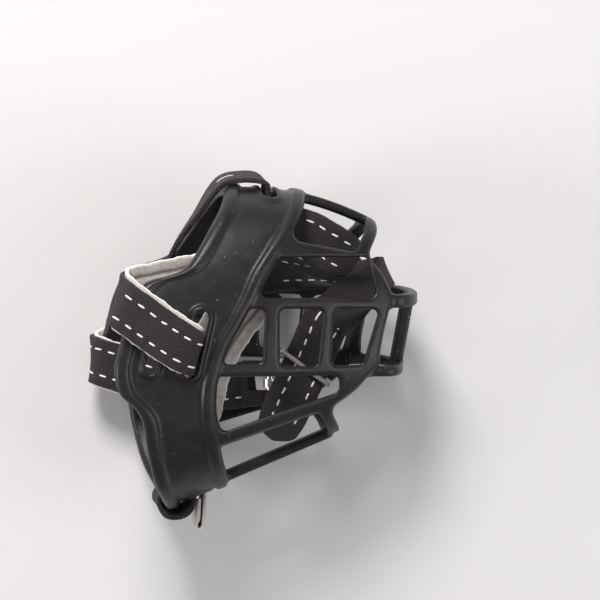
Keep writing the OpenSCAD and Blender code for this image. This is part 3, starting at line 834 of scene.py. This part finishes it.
def end_loop():
    """The doubled end of the left neck strap, sewn round the buckle bar, notched for the prong."""
    bx, by, bz = 4.6 + SHIFT[0], -11 + SHIFT[1], 18.6
    r_in, t = 1.26, 1.2
    half_w, notch = 7.4, 2.2
    tail_x, tail_top, tail_low = (-9, -8, -7, -5.6, -4.2, -2.8, -1.6, -0.6), 1.4, -0.2
    top, under = [(x, tail_top) for x in tail_x], [(x, tail_low) for x in tail_x]
    turn = np.linspace(-0.85, math.pi + 0.9, 22)
    outer, inner = ([(r * math.sin(a), r * math.cos(a)) for a in turn] for r in (r_in + t, r_in))
    verts, faces, uvs = [], [], []

    def strip(a, b, y0, y1):
        base, s = len(verts), 0.0
        for i in range(len(a)):
            if i:
                s += math.dist(a[i], a[i - 1])
            for (px, pz), y in ((a[i], y0), (a[i], y1), (b[i], y1), (b[i], y0)):
                verts.append((bx + px, by + y, bz + pz))
                uvs.append((s, y))
        faces.extend(tube_faces(len(a), 4, base))

    for y0, y1 in ((-half_w, -notch), (notch, half_w)):
        strip(outer, inner, y0, y1)
        strip(top, under, y0, y1)
    strip(top[:3], under[:3], -notch, notch)
    ob = mesh_obj("left_neck_end_v", verts, faces, [M_WEB])
    set_uv(ob, uvs)
    bevel = ob.modifiers.new("soft", "BEVEL")
    bevel.width = 0.25 * MM
    bevel.segments = 2
    bevel.limit_method = "ANGLE"
    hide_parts("left_neck_end")
    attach(ob, "muzzle")


# ---------------------------------------------------------------- build
basket = make_basket()
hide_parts("rear_band", "right_cage", "left_cage", "top_spine", "bottom_spine", "nose_guard")
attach(basket, "muzzle")

P_R, P_L, P_F, P_T, P_V = Path(RIGHT), Path(LEFT), Path(FOREHEAD), Path(THROAT), Path(LOW_FOLD)


def span(path, pts, i):
    """Length along the path at which its control point number i lies."""
    q = np.array(pts[i][:3], float) + [SHIFT[0], SHIFT[1], 0]
    return float(path.s[np.argmin(((path.p - q) ** 2).sum(1))])


def right(i):
    return span(P_R, RIGHT, i)


def left(i):
    return span(P_L, LEFT, i)


def forehead(i):
    return span(P_F, FOREHEAD, i)


def throat(i):
    return span(P_T, THROAT, i)


# right neck strap: out of the cheek slot, round the bend, through the basket and the keeper
web_strap("right_neck_webbing_v", P_R, -WEB_T, 0, "right_neck_webbing", s0=2.6, rows=(-4.3, 3.2),
          ends=(False, True), runs={-1: [(right(5) - 2.4, right(10) - 1.5), (right(22) - 1, P_R.L - 3.5)],
                                    1: [(right(15) + 1, right(18) - 3)]})
pad_strap("right_neck_lining_v", P_R, 0.05, PAD_T, "right_neck_lining", right(6) - 4.2, right(14),
          wider=0.75, aside=0.4)
web_strap("left_neck_webbing_v", P_L, 0, WEB_T, "left_neck_webbing", runs={1: [(2, P_L.L - 1)]})
pad_strap("left_neck_lining_v", P_L, -PAD_T, -0.05, "left_neck_lining", left(6), left(13), side=-1, wider=0.5)
web_strap("forehead_strap_v", P_F, -WEB_T / 2, WEB_T / 2, "forehead_strap", ends=(True, True),
          runs={1: [(2, forehead(4))], -1: [(2, forehead(4))]})
stitches("forehead_strap_stitch_top", P_F, (0.5,), WEB_T / 2 + 0.05, forehead(9) - 3, forehead(10) + 3.4,
         length=5.8, pitch=9)
web_strap("throat_webbing_v", P_T, -WEB_T, 0, "throat_webbing", runs={-1: [(throat(9), P_T.L - 2)]})
pad_strap("throat_lining_v", P_T, 0.05, PAD_T, "throat_lining", throat(10), throat(15), aside=0.8)
pad_strap("throat_fold_v", P_V, -1, 0, None, side=-1, wider=0.2, pale=0.25)
end_loop()

for n in ("buckle_frame", "buckle_prong", "keeper"):
    paint(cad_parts[n], M_STEEL)

# ---------------------------------------------------------------- stage
bpy.ops.mesh.primitive_plane_add(size=6, location=(0, 0, 0))
floor = bpy.context.object
floor.name = "floor"
fm, _, fb = new_mat("floor_pale", 0.75, spec=0.2)
fb.inputs["Base Color"].default_value = (0.63, 0.625, 0.62, 1)
paint(floor, fm)


def area(name, loc, size, power, color):
    """Disk light at loc, pointed at the muzzle. Lengths in m, power in W."""
    target = (0, 0, 0.03)
    lamp = bpy.data.lights.new(name, "AREA")
    lamp.shape = "DISK"
    lamp.size = size
    lamp.energy = power
    lamp.color = color
    ob = bpy.data.objects.new(name, lamp)
    ob.location = loc
    ob.rotation_euler = (Vector(target) - Vector(loc)).to_track_quat("-Z", "Y").to_euler()
    bpy.context.scene.collection.objects.link(ob)


area("key", (-0.18, 0.72, 0.72), 0.35, 10.6, (1.0, 0.975, 0.96))
area("fill", (0.75, -0.2, 0.6), 0.6, 3.2, (0.98, 0.97, 1.0))
area("rim", (-0.85, -0.1, 0.45), 0.4, 4.0, (1.0, 0.97, 0.98))
world = bpy.data.worlds.new("soft")
world.use_nodes = True
sky = world.node_tree.nodes["Background"]
sky.inputs["Color"].default_value = (0.95, 0.93, 0.95, 1)
sky.inputs["Strength"].default_value = 0.38
bpy.context.scene.world = world

# the camera stands at the eye and looks straight down; its height over the floor is in m
cam = bpy.data.cameras.new("camera")
cam.lens = 206.6
cam.sensor_width = 36
cam_ob = bpy.data.objects.new("camera", cam)
cam_ob.location = ((EYE_X + SHIFT[0]) * MM, (EYE_Y + SHIFT[1]) * MM, 1.1365)
cam_ob.rotation_euler = (0, 0, 0)
bpy.context.scene.collection.objects.link(cam_ob)
bpy.context.scene.camera = cam_ob
bpy.context.scene.view_settings.view_transform = "Standard"
